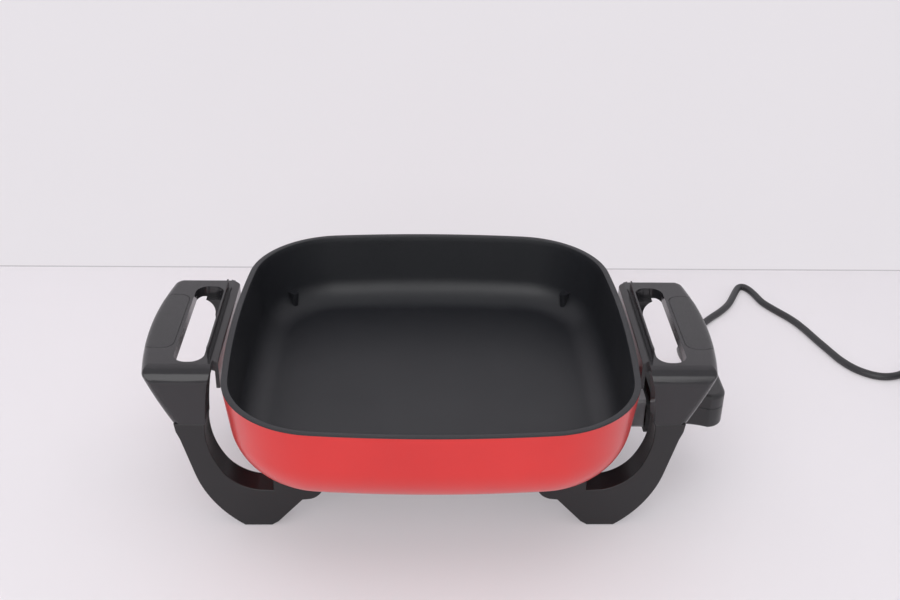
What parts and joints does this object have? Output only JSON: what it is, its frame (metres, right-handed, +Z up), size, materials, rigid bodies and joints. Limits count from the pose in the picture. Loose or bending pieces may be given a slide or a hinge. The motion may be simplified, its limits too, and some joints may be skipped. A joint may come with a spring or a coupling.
{
  "type": "electric skillet",
  "caption": "Square electric skillet: deep pan on two moulded stands with grip handles, and a plug-in heat control with dial and cord. No lid.",
  "frame": {"origin": "centre of the footprint of the skillet without its cord, on the surface that its feet stand on", "axes": "+X from the plain handle to the handle with the heat control, +Y away from the viewer, +Z up"},
  "size_m": [0.7457, 0.46, 0.1465],
  "materials": {
    "pan_enamel": "glossy",
    "element_steel": "satin",
    "pin_nickel": "polished",
    "ceramic": "matte",
    "guard_metal": "satin",
    "screw_steel": "satin",
    "handle_plastic": "glossy",
    "inlay_plastic": "matte",
    "leg_plastic": "satin",
    "foot_rubber": "matte",
    "control_plastic": "satin",
    "flange_plastic": "matte",
    "probe_steel": "satin",
    "contact_brass": "satin",
    "lamp_amber": "clear",
    "lamp_glass": "clear",
    "dial_plastic": "satin",
    "cord_rubber": "satin"
  },
  "bodies": {
    "skillet": {"pan_body": "pan_enamel", "heating_element": "element_steel", "terminal_pins": "pin_nickel", "terminal_beads": "ceramic", "terminal_guard": "guard_metal", "guard_screws": "screw_steel", "right_handle": "handle_plastic", "right_grip_inlay": "inlay_plastic", "right_finger_guard": "handle_plastic", "right_handle_screws": "screw_steel", "right_leg_frame": "leg_plastic", "right_leg_screws": "screw_steel", "right_foot_pads": "foot_rubber", "left_handle": "handle_plastic", "left_grip_inlay": "inlay_plastic", "left_finger_guard": "handle_plastic", "left_handle_screws": "screw_steel", "left_leg_frame": "leg_plastic", "left_leg_screws": "screw_steel", "left_foot_pads": "foot_rubber"},
    "control": {"control_lower_shell": "control_plastic", "control_upper_shell": "control_plastic", "control_flange": "flange_plastic", "control_nose": "flange_plastic", "probe_rod": "probe_steel", "contact_sockets": "contact_brass", "thermostat_block": "ceramic", "contact_strips": "contact_brass", "lamp_lens": "lamp_amber", "lamp_bulb": "lamp_glass", "case_screws": "screw_steel", "strain_relief": "cord_rubber", "power_cord": "cord_rubber", "cord_coil": "cord_rubber", "cord_tie": "cord_rubber", "plug_body": "cord_rubber", "plug_pins": "contact_brass"},
    "dial": {"dial_knob": "dial_plastic", "dial_shaft": "dial_plastic"}
  },
  "joints": [
    {"name": "control_pull", "type": "slide", "parent": "skillet", "child": "control", "axis": [1, 0, 0], "range_m": [0, 0.08]},
    {"name": "dial_turn", "type": "hinge", "parent": "control", "child": "dial", "pos_m": [0.19075, 0, 0.086], "axis": [0, 0, -1], "range_deg": [0, 270]}
  ]
}
